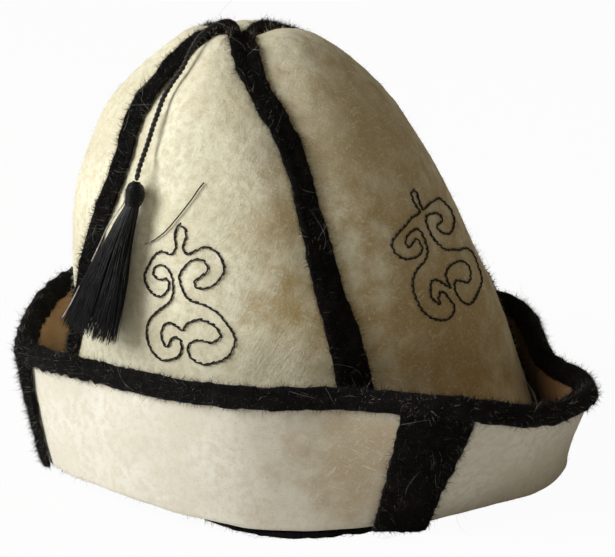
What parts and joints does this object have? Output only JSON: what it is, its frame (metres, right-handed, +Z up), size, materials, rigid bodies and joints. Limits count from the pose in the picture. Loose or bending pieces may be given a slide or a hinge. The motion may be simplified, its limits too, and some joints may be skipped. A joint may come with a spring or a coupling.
{
  "type": "kalpak felt hat",
  "caption": "Tall felt kalpak of cream gores with embroidered ram's-horn scrolls, black pile bands over the seams, a turned-up brim and a black corded tassel.",
  "frame": {"origin": "middle of the hat's outline, without its tassel, on the surface that it rests on", "axes": "+Z up, the length of the head opening along X, the side with the front seam facing -Y"},
  "size_m": [0.2322, 0.2144, 0.1862],
  "materials": {
    "crown_felt": "cream wool felt, slightly mottled",
    "brim_felt": "smoother off-white wool felt",
    "black_pile": "black woolly pile",
    "tan_facing": "smooth tan cloth",
    "black_thread": "black silky thread"
  },
  "bodies": {
    "root": {"crown_gore_front_left": "crown_felt", "crown_gore_front_right": "crown_felt", "crown_gore_back_right": "crown_felt", "crown_gore_back_left": "crown_felt", "crown_band_left": "black_pile", "crown_band_front": "black_pile", "crown_band_right": "black_pile", "crown_band_back": "black_pile", "brim_panel_front_left": "brim_felt", "brim_panel_front_right": "brim_felt", "brim_panel_back_right": "brim_felt", "brim_panel_back_left": "brim_felt", "brim_band_left": "black_pile", "brim_band_front": "black_pile", "brim_band_right": "black_pile", "brim_band_back": "black_pile", "rim_binding": "black_pile", "brim_facing": "tan_facing", "hem_binding": "black_pile", "tassel_cord": "black_thread", "tassel_head": "black_thread", "tassel_skirt": "black_thread"}
  },
  "joints": []
}
